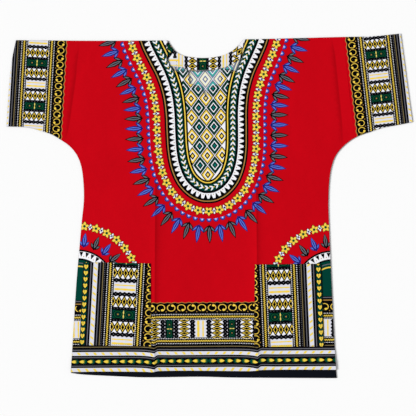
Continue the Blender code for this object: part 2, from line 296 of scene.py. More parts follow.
def rings(cloth, place, length, width, pitch=16.4, across=7.5, up=8.6):
    """A chain of open rings, each with a bud in it, that lie the other way round in turn."""
    for number, x in enumerate(repeats(length, pitch)):
        spot = place.spot(x, width * 0.45)
        side = 1.0 if number % 2 else -1.0
        nested(cloth, spot, oval, [
            ("gold", across, up, 16),
            ("yellow", across * 0.95, up * 0.95, 14),
            ("black", across * 0.78, up * 0.8, 14),
        ])
        opening = box(-across * 0.24, side * up * 0.5, across * 0.12, side * up * 1.02)
        cloth.dye("black", opening, spot)
        bud = oval(across * 0.34, side * up * 0.6, across * 0.36, up * 0.3, 8)
        cloth.dye("yellow", bud, spot)
        cloth.dye("gold", oval(pitch / 2.0, width * 0.4, 1.3, 1.3, 5), spot)


def wide_rings(cloth, place, length, width):
    rings(cloth, place, length, width, 23.5, 10.2, 8.3)


def checks(cloth, place, length, width):
    """White dots close together, which look like a checked line from afar."""
    for x in repeats(length, DOT_PITCH):
        cloth.dye("white", oval(x, width * 0.5, 1.05, 1.05, 6), place)


def dots(cloth, place, length, width):
    """Small grey dots on black."""
    for x in repeats(length, DOT_PITCH):
        cloth.dye("grey", oval(x, width * 0.55, 0.9, 0.9, 6), place)


def zigzag(cloth, place, length, width):
    """A yellow braid, with black gaps between its strands."""
    x = np.arange(0.0, length + BRAID_PITCH / 2.0, BRAID_PITCH / 2.0)
    tips = np.where(np.arange(len(x)) % 2, 0.2, -0.2) * width
    upper = np.column_stack([x, 0.3 * width + tips])
    lower = np.column_stack([x, 0.7 * width + tips])[::-1]
    cloth.dye("yellow", np.vstack([upper, lower]), place)
    for along in repeats(length, BRAID_PITCH):
        spot = place.spot(along, width * 0.5, 24.0)
        cloth.dye("black", lozenge(0.0, 0.0, 0.36, width * 0.3), spot)


def plain(colour):
    def row(cloth, place, length, width):
        cloth.dye(colour, box(0.0, 0.0, length, width), place)
    return row


def dashes(cloth, place, length, width, middle, pitch=DASH_PITCH):
    """Pale row with slanted strokes that lean towards its middle, yellower at their cores."""
    cloth.dye("pale", box(0.0, 0.0, length, width), place)
    strokes = [("straw", 0.17, 1.0, 0.14), ("yellow", 0.09, 0.7, 0.25)]
    for x in middle + pitch * (np.arange(-30, 30) + 0.5):
        if not -pitch < x < length + pitch:
            continue
        lean = math.copysign(0.24, middle - x) * width
        for colour, share, slant, foot in strokes:
            half = pitch * share
            skew = lean * slant
            low = width * foot
            high = width * (1.0 - foot)
            stroke = [(x - half - skew, low), (x + half - skew, low)]
            stroke += [(x + half + skew, high), (x - half + skew, high)]
            cloth.dye(colour, stroke, place)


def wide_dashes(cloth, place, length, width, middle):
    dashes(cloth, place, length, width, middle, WIDE_DASH_PITCH)


def leaves(cloth, place, length, width, middle):
    """Dark row of yellow leaves that point away from its middle, each over a green sheath."""
    pitch = LEAF_PITCH
    # Each leaf's dye, its stem's place, its length, its width and where it is fullest
    parts = [
        ("green", 0.56, 0.95, 0.92, 0.3),
        ("lime", 0.3, 0.74, 0.64, 0.42),
        ("yellow", 0.2, 0.64, 0.5, 0.42),
        ("leaf", 0.46, 0.4, 0.22, 0.45),
    ]
    for step in range(-24, 25):
        x = middle + pitch * step * (LEAF_EASE if step < 0 else 1.0)
        if not -pitch < x < length + pitch:
            continue
        # The middle has a leaf each way
        turns = (0.0, 180.0) if step == 0 else (0.0,) if step > 0 else (180.0,)
        for turn in turns:
            spot = place.spot(x, width / 2.0, turn)
            for colour, stem, long, wide, fullest in parts:
                shape = leaf(-pitch * stem, 0.0, pitch * long, width * wide, 0.0, fullest)
                cloth.dye(colour, shape, spot)


def hearts(cloth, place, length, width):
    """Dark green row of small yellow hearts that point down it."""
    cloth.dye("green", box(0.0, width * 0.1, length, width * 0.9), place)
    half = [(5.4, 0.0), (1.0, 3.7), (-2.6, 4.2), (-4.2, 2.4), (-2.4, 0.0)]
    heart = np.array(half + [(along, -side) for along, side in half[-2:0:-1]])
    for x in repeats(length, HEART_PITCH):
        spot = place.spot(x, width * 0.52)
        cloth.dye("black", heart * 1.28 + (0.6, 0.0), spot)
        cloth.dye("yellow", heart, spot)
        cloth.dye("lime", leaf(-2.4, 0.0, 5.0, 2.2), spot)


def lozenge_block(cloth, place, length, width):
    """Yellow lozenges on black, with white triangles between them at both ends."""
    cloth.dye("black", box(0.0, 0.0, length, width), place)
    pitch = width / 4.0
    for y in pitch * (np.arange(4) + 0.5):
        for end, tip in ((0.03, 0.36), (0.97, 0.64)):
            base = end * length
            corners = [(base, y - pitch * 0.38), (base, y + pitch * 0.38), (tip * length, y)]
            cloth.dye("white", corners, place)
    for y in pitch * np.arange(5):
        spot = place.spot(length / 2.0, y)
        layers = [("yellow", length * 0.39, pitch * 0.4), ("black", length * 0.28, pitch * 0.28)]
        nested(cloth, spot, lozenge, layers)


def green_block(cloth, place, length, width):
    """Two dark green rosettes side by side on black, with dotted edges."""
    cloth.dye("black", box(0.0, 0.0, length, width), place)
    cloth.dye("green", box(length * 0.2, 0.0, length * 0.8, width), place)
    rosette_rings = [
        ("black", 0.31, 0.225, 14), ("leaf", 0.26, 0.19, 12), ("black", 0.2, 0.14, 12),
        ("green", 0.15, 0.1, 10), ("black", 0.1, 0.065, 8), ("gold", 0.06, 0.035, 6),
    ]
    layers = [(dye, length * across, width * up, sides) for dye, across, up, sides in rosette_rings]
    for y in (width * 0.25, width * 0.75):
        nested(cloth, place.spot(length / 2.0, y), oval, layers)
    for turn in (0.0, 180.0):
        pointed = leaf(0.0, 0.0, length * 0.3, width * 0.06, turn)
        cloth.dye("straw", pointed, place.spot(length / 2.0, width / 2.0))
    for y in repeats(width, width / 7.0):
        for x in (length * 0.07, length * 0.93):
            cloth.dye("grey", oval(x, y, 0.9, 0.9, 5), place)


def white_block(cloth, place, length, width):
    """Pale, with a faint broken yellow line and a stronger one."""
    cloth.dye("pale", box(-0.5, 0.0, length + 0.5, width), place)
    for x, half in ((length * 0.3, length * 0.07), (length * 0.7, length * 0.115)):
        cloth.dye("straw", box(x - half * 0.8, width * 0.03, x + half * 0.8, width * 0.97), place)
        for y in repeats(width, width / 3.0):
            cloth.dye("yellow", oval(x, y, half, width * 0.13, 8), place)


def turned_white_block(cloth, place, length, width):
    """A white block the other way round."""
    white_block(cloth, place.spot(length, width, 180.0), length, width)


def bead_block(cloth, place, length, width):
    """A chain of black beads on a pale ground, each with a light dot."""
    cloth.dye("pale", box(-0.6, 0.0, length + 0.6, width), place)
    cloth.dye("black", box(length * 0.06, 0.0, length * 0.94, width), place)
    for y in repeats(width, width / 5.0):
        spot = place.spot(length / 2.0, y)
        cloth.dye("black", oval(0.0, 0.0, length * 0.72, width * 0.09, 8), spot)
        cloth.dye("grey", oval(0.0, 0.0, 0.9, 1.1, 6), spot)


BLOCKS = {
    "white": white_block,
    "turned white": turned_white_block,
    "beads": bead_block,
    "lozenges": lozenge_block,
    "green": green_block,
}
ROWS = {
    "scallops": scallops,
    "rings": rings,
    "wide rings": wide_rings,
    "dots": dots,
    "checks": checks,
    "zigzag": zigzag,
    "hearts": hearts,
    "bronze": plain("bronze"),
    "grey": plain("grey"),
}
CENTRED_ROWS = {"dashes": dashes, "wide dashes": wide_dashes, "leaves": leaves}


def ladder(cloth, place, length, width, blocks, first, stretch):
    """Blocks one after another, from the first white one's start, over a row's length."""
    repeat = sum(size for _, size in blocks) * stretch
    x = first - repeat * math.ceil(first / repeat)
    found = []
    while x < length:
        for kind, size in blocks:
            if x + size * stretch > 0.0 and x < length:
                found.append((kind == "beads", x, kind, size * stretch))
            x += size * stretch
    # Beads come last, because they bulge over their neighbours
    for _, x, kind, size in sorted(found):
        BLOCKS[kind](cloth, place.spot(x, 0.0), size, width)


def border(cloth, place, length, rows, blocks, first, stretch, middle):
    """A border from its rows. Its ladder comes first, because its neighbours trim it."""
    cloth.dye("black", box(0.0, 0.5, length, sum(width for _, width in rows)), place)
    for is_ladder in (True, False):
        across = 0.0
        for kind, width in rows:
            spot = place.spot(0.0, across)
            if kind == "ladder" and is_ladder:
                ladder(cloth, spot, length, width, blocks, first, stretch)
            elif kind in CENTRED_ROWS and not is_ladder:
                CENTRED_ROWS[kind](cloth, spot, length, width, middle)
            elif kind in ROWS and not is_ladder:
                ROWS[kind](cloth, spot, length, width)
            across += width


# The yoke round the neck, drawn up from its foot, and the garland round it

YOKE_PLACE = Place(-2.1, 4.0, 1.5)
YOKE_HALF = [
    (157.0, 402.0), (147.0, 364.0), (131.0, 328.0), (114.0, 292.0), (102.0, 252.0), (97.0, 210.0),
    (96.0, 165.0), (94.0, 120.0), (87.0, 80.0), (72.0, 44.0), (48.0, 17.0), (22.0, 3.0),
]
# Bands inside the yoke's edge, with the distances that each begins and ends at
YOKE_BANDS = [
    ("black", 0.0, 4.0), ("gold", 4.0, 6.3), ("black", 6.3, 11.0), ("white", 11.0, 23.5),
    ("black", 23.5, 28.5), ("green", 28.5, 43.0), ("black", 43.0, 46.5),
    ("yellow", 46.5, 49.0), ("black", 49.0, 53.0),
]
FIELD_IN = 46.0
TEETH_IN = 17.2
LAUREL_IN = 35.7
FLOWERS_OUT = 18.0
FANS_OUT = 35.0
RAYS_OUT = 52.0
LOZENGE_ROWS = np.arange(66.0, 400.0, 22.0)
LOZENGE_PITCH = 34.0


def smooth_curve(spots, step=6.0):
    """Points along a smooth curve through the spots."""
    spots = np.asarray(spots, float)
    ends = np.vstack([spots[:1], spots, spots[-1:]])
    points = []
    for before, start, finish, after in zip(ends, ends[1:], ends[2:], ends[3:]):
        pieces = max(1, round(float(np.hypot(*(finish - start))) / step))
        for t in np.arange(pieces) / pieces:
            bend = 2.0 * before - 5.0 * start + 4.0 * finish - after
            twist = 3.0 * (start - finish) + after - before
            points.append(start + 0.5 * t * ((finish - before) + t * (bend + t * twist)))
    return np.array([*points, spots[-1]])


def moved_out(points, distance):
    """An open line moved sideways, to the right of its run."""
    steps = np.diff(points, axis=0)
    steps /= np.hypot(*steps.T)[:, None]
    normals = np.column_stack([steps[:, 1], -steps[:, 0]])
    normals = np.vstack([normals[:1], normals, normals[-1:]])
    middle = normals[:-1] + normals[1:]
    middle /= np.maximum((middle * normals[1:]).sum(axis=1), 0.35)[:, None]
    return points + middle * distance


def stations(line, pitch, start=0.5):
    """Places along a line, about a pitch apart, each with its y axis to the right of its run."""
    steps = np.hypot(*np.diff(line, axis=0).T)
    reach = np.concatenate([[0.0], np.cumsum(steps)])
    count = max(1, round(reach[-1] / pitch))
    for distance in (np.arange(count) + start) * reach[-1] / count:
        index = min(max(int(np.searchsorted(reach, distance)), 1), len(line) - 1)
        run = line[index] - line[index - 1]
        x, y = line[index - 1] + run * (distance - reach[index - 1]) / steps[index - 1]
        yield Place(x, y, math.degrees(math.atan2(run[1], run[0])) - 180.0)


def yoke_edge(distance=0.0):
    """The yoke's outline, down its left side, round its foot and up its right side, moved out."""
    half = np.array(YOKE_HALF)
    line = smooth_curve(np.vstack([half * (-1.0, 1.0), [(0.0, 0.0)], half[::-1]]))
    return YOKE_PLACE.at(moved_out(line, distance))


def flower(cloth, place, colour, heart, size, petals):
    """An open flower with a dark edge round its petals."""
    turns = np.arange(petals) * 360.0 / petals + 90.0
    for turn in turns:
        cloth.dye("black", leaf(0.0, 0.0, size + 1.3, size * 0.62 + 2.0, turn, 0.6), place)
    for turn in turns:
        cloth.dye(colour, leaf(0.0, 0.0, size, size * 0.58, turn, 0.62), place)
    cloth.dye(heart, oval(0.0, 0.0, size * 0.3, size * 0.3, 8), place)


def fan(cloth, place):
    """A small blue half disc with a light core and a white eye."""
    cloth.dye("navy", oval(0.0, 0.0, 6.8, 8.6, 14)[:8], place)
    cloth.dye("blue", oval(0.0, 0.0, 4.6, 6.2, 14)[:8], place)
    cloth.dye("white", oval(0.0, 1.9, 1.5, 1.5, 6), place)


def ray(cloth, place, dark, light, size=1.0):
    """A long leaf with a midrib, between two short ones."""
    for turn in (48.0, 132.0):
        cloth.dye(dark, leaf(0.0, -1.0, 22.0 * size, 8.0, turn, 0.55), place)
        stem = math.cos(math.radians(turn)) * 3.5
        cloth.dye(light, leaf(stem, 1.7, 15.0 * size, 3.6, turn, 0.55), place)
    cloth.dye(dark, leaf(0.0, -4.0, 45.0 * size, 13.0, 90.0, 0.5), place)
    cloth.dye(light, leaf(0.0, 2.0, 35.0 * size, 7.6, 90.0, 0.5), place)
    cloth.dye(dark, leaf(0.0, 5.0, 28.0 * size, 2.2, 90.0, 0.5), place)


def rays(cloth, line, pitch, size=1.0):
    """Rays along a line, blue and grey in turn."""
    for number, place in enumerate(stations(line, pitch)):
        dark, light = ("navy", "blue") if number % 2 else ("black", "grey")
        ray(cloth, place, dark, light, size)


def flowers(cloth, line, pitch):
    """Yellow flowers with white blossoms between them."""
    for place in stations(line, pitch, 0.0):
        flower(cloth, place, "white", "navy", 7.4, 4)
    for place in stations(line, pitch):
        flower(cloth, place, "yellow", "leaf", 11.0, 5)


def teeth(cloth, line, pitch, base, tip):
    """A row of black teeth across a band, with a gold dot between each two."""
    for place in stations(line, pitch):
        half = pitch * 0.36
        cloth.dye("black", [(-half, base), (half, base), (0.0, tip)], place)
    for place in stations(line, pitch, 0.0):
        cloth.dye("gold", oval(0.0, tip * 0.55, 1.3, 1.3, 6), place)


def laurel(cloth, line):
    """Pairs of white leaves along a band, with a yellow berry at each pair."""
    for place in stations(line, 12.0):
        for side in (-1.0, 1.0):
            cloth.dye("white", leaf(0.0, 0.0, 10.0, 3.8, side * 34.0), place)
        cloth.dye("yellow", oval(-1.6, 0.0, 1.5, 1.5, 6), place)


def lattice(cloth):
    """Rows of nested lozenges over the yoke's middle, on white."""
    ring = yoke_edge(-FIELD_IN)
    cloth.dye("white", ring)
    for row, y in enumerate(LOZENGE_ROWS):
        outer, core = ("green", "teal") if row % 2 else ("yellow", "yellow")
        for x in (np.arange(-4, 5) + (row % 2) / 2.0) * LOZENGE_PITCH:
            spot = YOKE_PLACE.spot(x, y)
            if inside(spot.at([(0.0, 0.0)]), ring)[0]:
                nested(cloth, spot, lozenge, [
                    ("black", 16.2, 20.8), (outer, 13.4, 17.2), ("white", 9.4, 12.0),
                    ("black", 7.0, 9.0), (core, 3.6, 4.6),
                ])


def yoke(cloth):
    """A round-footed yoke: a lattice inside bands of teeth and laurel, with a garland outside."""
    rays(cloth, yoke_edge(RAYS_OUT), 23.5)
    for place in stations(yoke_edge(FANS_OUT), 15.5):
        fan(cloth, place)
    flowers(cloth, yoke_edge(FLOWERS_OUT), 25.0)
    lattice(cloth)
    for colour, outer, inner in YOKE_BANDS:
        cloth.dye(colour, np.vstack([yoke_edge(-outer), yoke_edge(-inner)[::-1]]))
    teeth(cloth, yoke_edge(-TEETH_IN), 12.5, 6.4, -5.0)
    laurel(cloth, yoke_edge(-LAUREL_IN))


# Corner rosettes at the foot of the side seams, cut by the seams and covered by the pockets

ROSETTES = [(-301.3, -186.0), (280.6, -188.3)]
ROSETTE_RAYS = 92.0
ROSETTE_FLOWERS = 138.0
ROSETTE_TEETH = 72.0
ROSETTE_RIM = (("black", 84.0), ("white", 80.0), ("black", 64.0), ("green", 60.0))
ROSETTE_DISC = (("grey", 54.0), ("green", 52.0), ("yellow", 47.0), ("green", 44.0))


def rosette(cloth, x, y):
    """Rings of teeth, rays and flowers round a plain green disc."""
    angles = np.radians(np.arange(180.0, -1.0, -5.0))
    half_turn = np.column_stack([np.cos(angles), np.sin(angles)])[::-1]

    def arc(distance):
        return half_turn * distance + (x, y)

    rays(cloth, arc(ROSETTE_RAYS), 24.0, 0.8)
    flowers(cloth, arc(ROSETTE_FLOWERS), 27.0)
    for colour, radius in ROSETTE_RIM:
        cloth.dye(colour, oval(x, y, radius, radius, 48))
    teeth(cloth, arc(ROSETTE_TEETH), 12.5, 7.0, -5.0)
    for colour, radius in ROSETTE_DISC:
        cloth.dye(colour, oval(x, y, radius, radius, 40))


# Where the pressed body creases pull the hem's rows down, and by how much beside each crease
KINK_LINES = (-126.5, 111.0)
KINK_ACROSS = (-60.0, -36.0, -20.0, -9.0, -3.0, 0.0, 3.0, 7.0, 16.0, 40.0)
KINK_DROP = (0.0, -0.5, -1.3, -2.8, -4.2, -4.4, -1.8, 0.6, 0.6, 0.0)
KINK_FULL = -375.0
KINK_FREE = -215.0

# Where each border's inner edge starts, and how it runs from there
HEM_PLACE = Place(-335.0, -225.0, 0.45, flip=True)
SLEEVE_PLACES = {
    "left": Place(-326.4, 379.5, -93.26, flip=True),
    "right": Place(310.7, 390.6, -83.35),
}
POCKET_PLACES = {
    "pocket_left": Place(-115.6, -128.8, -93.15, 1.122, flip=True),
    "pocket_right": Place(82.5, -133.0, -87.6, 1.122),
}
FACING_PLACE = Place(-80.0, 355.0, 0.0, flip=True)
HEM_LENGTH = 650.0
SLEEVE_LENGTH = 240.0
POCKET_LENGTH = 180.0
FACING_LENGTH = 140.0
FACING_WIDTH = 47.2
# Where a border's first white block starts, and how far its blocks are stretched
HEM_BLOCKS = (300.5, 1.0)
SLEEVE_BLOCKS = {"left": (96.5, 0.97), "right": (92.6, 0.99)}
POCKET_BLOCKS = (47.0, 1.087)
FACING_BLOCKS = (3.7, 1.0)
# Where a border's strokes and leaves turn round, which is past the end of sleeves and pockets
HEM_MIDDLE = 322.0
SLEEVE_MIDDLE = 400.0
POCKET_MIDDLE = -10.0
# Lines over the outer ends of the hem's border: each end's start, stop and lift, then each line's
# dye, top and foot
HEM_OUTER_ENDS = ((-10.0, 60.0, 0.0), (585.0, 680.0, -5.0))
HEM_OUTER_LINES = (("black", -6.0, 8.0), ("grey", -4.0, -2.0), ("gold", 2.0, 4.2))


def shirt_print():
    """The print that front and back are both cut from."""
    cloth = Print("red")
    for x, y in ROSETTES:
        rosette(cloth, x, y)
    border(cloth, HEM_PLACE, HEM_LENGTH, HEM_BORDER, HEM_LADDER, *HEM_BLOCKS, HEM_MIDDLE)
    for low, high, lift in HEM_OUTER_ENDS:
        for colour, top, foot in HEM_OUTER_LINES:
            cloth.dye(colour, box(low, lift + top, high, lift + foot), HEM_PLACE)
    for side, place in SLEEVE_PLACES.items():
        blocks = SLEEVE_BLOCKS[side]
        border(cloth, place, SLEEVE_LENGTH, SIDE_BORDER, SIDE_LADDER, *blocks, SLEEVE_MIDDLE)
    yoke(cloth)
    cloth.loops = [kinked(loop) for loop in cloth.loops]
    return cloth


def kinked(loop):
    """A loop drawn down a little where the pressed creases cross the hem's border."""
    if loop[:, 1].max() < KINK_FREE:
        marks = np.add.outer(KINK_LINES, KINK_ACROSS).ravel()
        points = []
        for start, finish in zip(loop, np.roll(loop, -1, axis=0)):
            low, high = sorted((start[0], finish[0]))
            shares = [(x - start[0]) / (finish[0] - start[0]) for x in marks if low < x < high]
            points += [start + (finish - start) * share for share in (0.0, *sorted(shares))]
        loop = np.array(points)
    drop = sum(np.interp(loop[:, 0] - x, KINK_ACROSS, KINK_DROP) for x in KINK_LINES)
    drop = drop * fade(loop[:, 1], KINK_FULL, KINK_FREE)
    return loop + np.column_stack([np.zeros(len(loop)), drop])


def pocket_print(name):
    """A piece of the side border, with its ladder upright."""
    cloth = Print("black")
    place = POCKET_PLACES[name]
    border(cloth, place, POCKET_LENGTH, SIDE_BORDER, SIDE_LADDER, *POCKET_BLOCKS, POCKET_MIDDLE)
    return cloth


# The facing's left end, where its white block runs round the corner, and then the line at its foot
FACING_PATCHES = [
    ("pale", -100.0, 309.0, -76.3, 338.0),
    ("yellow", -93.0, 331.4, -69.6, 335.4),
    ("straw", -92.0, 320.6, -61.4, 322.8),
]
FACING_FOOT = (-80.0, 309.2, 60.0, 310.6)


def facing_print():
    """A strip of the side border's ladder, laid along the neckline and turned at its ends."""
    cloth = Print("white")
    ladder(cloth, FACING_PLACE, FACING_LENGTH, FACING_WIDTH, FACING_LADDER, *FACING_BLOCKS)
    for colour, *corners in FACING_PATCHES:
        cloth.dye(colour, box(*corners))
    green_block(cloth, Place(-70.0, 366.0, 140.0), 26.5, FACING_WIDTH)
    lozenge_block(cloth, Place(52.0, 350.0, 55.0, flip=True), 24.0, FACING_WIDTH)
    cloth.dye("grey", box(*FACING_FOOT))
    return cloth


# Geometry of the cloth

def distance_to(points, line):
    """Distance from each point to a line of points."""
    nearest = np.full(len(points), np.inf)
    for start, finish in zip(line, line[1:]):
        along = finish - start
        t = np.clip((points - start) @ along / max(along @ along, 1e-12), 0.0, 1.0)
        nearest = np.minimum(nearest, np.hypot(*(points - start - t[:, None] * along).T))
    return nearest


def inside(points, outline):
    """True for each point inside a closed outline."""
    hits = np.zeros(len(points), bool)
    for (x1, y1), (x2, y2) in zip(outline, np.roll(outline, -1, axis=0)):
        if y1 == y2:
            continue
        level = (points[:, 1] >= min(y1, y2)) & (points[:, 1] < max(y1, y2))
        crossing = x1 + (points[:, 1] - y1) * (x2 - x1) / (y2 - y1)
        hits ^= level & (points[:, 0] < crossing)
    return hits


def fade(value, full, none):
    """1 where the value is at most full, 0 from none on, and a smooth step between them."""
    t = np.clip((value - full) / (none - full), 0.0, 1.0)
    return 1.0 - t * t * (3.0 - 2.0 * t)


def rim_of(node):
    """Closed outline of a solid's upper side, in order, read from the frame."""
    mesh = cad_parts[node].data
    spots = [(round(v.co.x / MM, 2), round(v.co.y / MM, 2)) for v in mesh.vertices]
    edges = set()
    for face in mesh.polygons:
        if face.normal.z > 0.5:
            corners = [spots[index] for index in face.vertices]
            edges.update(zip(corners, corners[1:] + corners[:1]))
    after = {start: finish for start, finish in edges if (finish, start) not in edges}
    rim = [next(iter(sorted(after)))]
    while after[rim[-1]] != rim[0]:
        rim.append(after[rim[-1]])
    return np.array(rim)


def lowered(rim):
    """The back's outline with its hem hanging a little lower than its solid, most at the right."""
    drop = np.interp(rim[:, 0], HEM_ENDS, HEM_DROPS)
    return rim - np.column_stack([np.zeros(len(rim)), drop * is_hem(rim)])


def is_hem(middles):
    return middles[:, 1] < HEM_LEVEL


RIMS = {name: rim_of(name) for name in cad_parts}
RIMS["back"] = lowered(RIMS["back"])


def stretch_of(rim, chosen):
    """The edges of a closed outline whose middles pass a test."""
    ring = np.vstack([rim, rim[:1]])
    middles = (ring[1:] + ring[:-1]) / 2.0
    return [ring[index:index + 2] for index in np.flatnonzero(chosen(middles))]


def is_neck(middles):
    return ((middles > NECK_BOX[0]) & (middles < NECK_BOX[1])).all(axis=1)


def is_seam(middles):
    return ~is_hem(middles) & ~is_neck(middles)


def nearest_run(points, runs):
    return np.min([distance_to(points, run) for run in runs], axis=0)


HEM_OF_FRONT = stretch_of(RIMS["front"], is_hem)
HEM_OF_BACK = stretch_of(RIMS["back"], is_hem)
NECK_OF_FRONT = stretch_of(RIMS["front"], is_neck)
SEAMS = stretch_of(RIMS["front"], is_seam)


def hem_thickness(points, hem):
    return CLOTH + HEM_TURN * fade(nearest_run(points, hem), HEM_DEPTH, HEM_DEPTH + HEM_SLOPE)


def crease_relief(points, creases):
    """Height that pressed creases add at each point."""
    relief = np.zeros(len(points))
    for crease in creases:
        start = np.array([crease.x_top, crease.y_top])
        run = np.array([crease.x_end, crease.y_end]) - start
        length = np.hypot(*run)
        along = (points - start) @ run / length
        across = (points - start) @ np.array([-run[1], run[0]]) / length
        flank = np.where(across < 0.0, crease.left, crease.right)
        ends = fade(-along, 0.0, CREASE_FADE) * fade(along - length, 0.0, CREASE_FADE)
        relief += crease.height * ends * np.exp(-np.abs(across) / flank)
    return relief


def slow_waves(points):
    x, y = points.T
    waves = sum(np.sin(x / across + y / up + start) for across, up, start in WAVES)
    return WAVE * waves / 1.5


def front_underside(points):
    """Height of the front's inner face: on the back at the seams, and lofted between them."""
    from_seam = nearest_run(points, SEAMS)
    from_hem = nearest_run(points, HEM_OF_FRONT)
    free = (1.0 - np.exp(-from_seam / LOFT_REACH)) * (1.0 - fade(from_hem, HEM_DEPTH, HEM_FREE))
    edge = 1.0 - np.exp(-from_seam / SEAM_REACH)
    relief = crease_relief(points, CREASES + FINE_CREASES) + free * slow_waves(points)
    soft = free * LOFT + edge * relief
    on_facing = fade(nearest_run(points, NECK_OF_FRONT), NECK_FULL, NECK_FREE)
    soft = np.maximum(soft, on_facing * (FACING + GAP))
    on_hem = fade(nearest_run(points, HEM_OF_BACK), *BACK_HEM_REACH)
    return CLOTH + GAP + np.maximum(soft, 0.0) + on_hem * HEM_TURN


def front_top(points):
    return front_underside(points) + hem_thickness(points, HEM_OF_FRONT)


def back_underside(points):
    """Height of the back's outer face: flat on the table, with creases pressed up into it."""
    return np.minimum(crease_relief(points, BACK_CREASES), DEEPEST_IN_BACK)


def back_top(points):
    return hem_thickness(points, HEM_OF_BACK)


def sheet_on(surface, thickness):
    """The two surfaces of a sheet that lies on another with a small gap."""
    def low(points):
        return surface(points) + GAP

    def high(points):
        return low(points) + thickness

    return low, high


SURFACES = {
    "back": (back_underside, back_top),
    "neck_facing": sheet_on(back_top, FACING),
    "front": (front_underside, front_top),
    "pocket_left": sheet_on(front_top, POCKET),
    "pocket_right": sheet_on(front_top, POCKET),
}


def linear(value):
    """The linear colour of an sRGB hex value."""
    parts = [int(value[i:i + 2], 16) / 255.0 for i in (1, 3, 5)]
    return [part / 12.92 if part <= 0.04045 else ((part + 0.055) / 1.055) ** 2.4 for part in parts]


def grid_over(outline, spacing, lines):
    """Points of an even grid inside an outline, clear of it and of the lines."""
    low = outline.min(axis=0)
    high = outline.max(axis=0)
    rows = []
    for number, y in enumerate(np.arange(low[1], high[1], spacing * ROW_STEP)):
        x = np.arange(low[0] + (number % 2) * spacing / 2.0, high[0], spacing)
        rows.append(np.column_stack([x, np.full(len(x), y)]))
    grid = np.vstack(rows)
    grid = grid[inside(grid, outline)]
    ring = np.vstack([outline, outline[:1]])
    clear = distance_to(grid, ring)
    for line in lines:
        clear = np.minimum(clear, distance_to(grid, line))
    return grid[clear > CLEARANCE * spacing]


def crease_lines(creases, spacing):
    """Lines of mesh edges along each crease and close beside it."""
    lines = []
    for crease in creases:
        start = np.array([crease.x_top, crease.y_top])
        finish = np.array([crease.x_end, crease.y_end])
        length = np.hypot(*(finish - start))
        across = np.array([start[1] - finish[1], finish[0] - start[0]]) / length
        share = np.linspace(0.0, 1.0, round(length / spacing) + 1)[:, None]
        offsets = (-0.5 * crease.left, -CREASE_CORE, 0.0, CREASE_CORE, 0.5 * crease.right)
        for offset in offsets:
            lines.append(start + across * offset + (finish - start) * share)
    return lines


def cut_cloth(outline, cloth, lines, spacing):
    """One side of a piece, laid flat and cut along every loop of dye."""
    low = outline.min(axis=0)
    high = outline.max(axis=0)
    coords = [tuple(point) for point in outline]
    faces = [list(range(len(coords)))]
    numbers = [0]
    for number, loop in enumerate(cloth.loops, 1):
        if (loop.max(axis=0) < low).any() or (loop.min(axis=0) > high).any():
            continue
        faces.append(list(range(len(coords), len(coords) + len(loop))))
        numbers.append(number)
        coords += [tuple(point) for point in loop]
    edges = []
    for line in lines:
        edges += [(len(coords) + i, len(coords) + i + 1) for i in range(len(line) - 1)]
        coords += [tuple(point) for point in line]
    coords += [tuple(point) for point in grid_over(outline, spacing, lines)]
    # Each triangle comes back with the loops that it lies in
    found = delaunay_2d_cdt([Vector(point) for point in coords], edges, faces, 0, MERGED, True)
    points = np.array([tuple(point) for point in found[0]])
    triangles = []
    dyes = []
    for triangle, parents in zip(found[2], found[5]):
        if 0 in parents:
            triangles.append(tuple(triangle))
            dyes.append(cloth.dyes[numbers[max(parents)]])
    triangles = np.array(triangles)
    used = np.unique(triangles)
    renumber = np.full(len(points), -1)
    renumber[used] = np.arange(len(used))
    triangles = renumber[triangles]
    return Side(points[used], triangles, dyes, rim_chain(triangles))


def slopes(surface, points, step=0.6):
    """Unit normals of a surface of heights, pointing up."""
    dx = surface(points + (step, 0.0)) - surface(points - (step, 0.0))
    dy = surface(points + (0.0, step)) - surface(points - (0.0, step))
    normals = np.column_stack([-dx / (2.0 * step), -dy / (2.0 * step), np.ones(len(points))])
    return normals / np.linalg.norm(normals, axis=1)[:, None]


def rim_chain(triangles):
    """Indices round the outer edge of a set of triangles, in order."""
    edges = {(a, b) for t in triangles.tolist() for a, b in zip(t, t[1:] + t[:1])}
    after = {a: b for a, b in edges if (b, a) not in edges}
    chain = [min(after)]
    while after[chain[-1]] != chain[0]:
        chain.append(after[chain[-1]])
    return np.array(chain)


def strip(upper, lower):
    """Triangles between two closed lines side by side, each corner as a line and an index."""
    i = 0
    j = 0
    triangles = []
    while i < len(upper) or j < len(lower):
        ahead = math.dist(upper[(i + 1) % len(upper)], lower[j % len(lower)])
        behind = math.dist(upper[i % len(upper)], lower[(j + 1) % len(lower)])
        if j == len(lower) or (i < len(upper) and ahead <= behind):
            triangles.append([(0, i), (1, j), (0, i + 1)])
            i += 1
        else:
            triangles.append([(0, i), (1, j), (1, j + 1)])
            j += 1
    return triangles


def placed(name, data):
    """A new object of the scene, at the origin."""
    found = bpy.data.objects.new(name, data)
    bpy.context.scene.collection.objects.link(found)
    return found


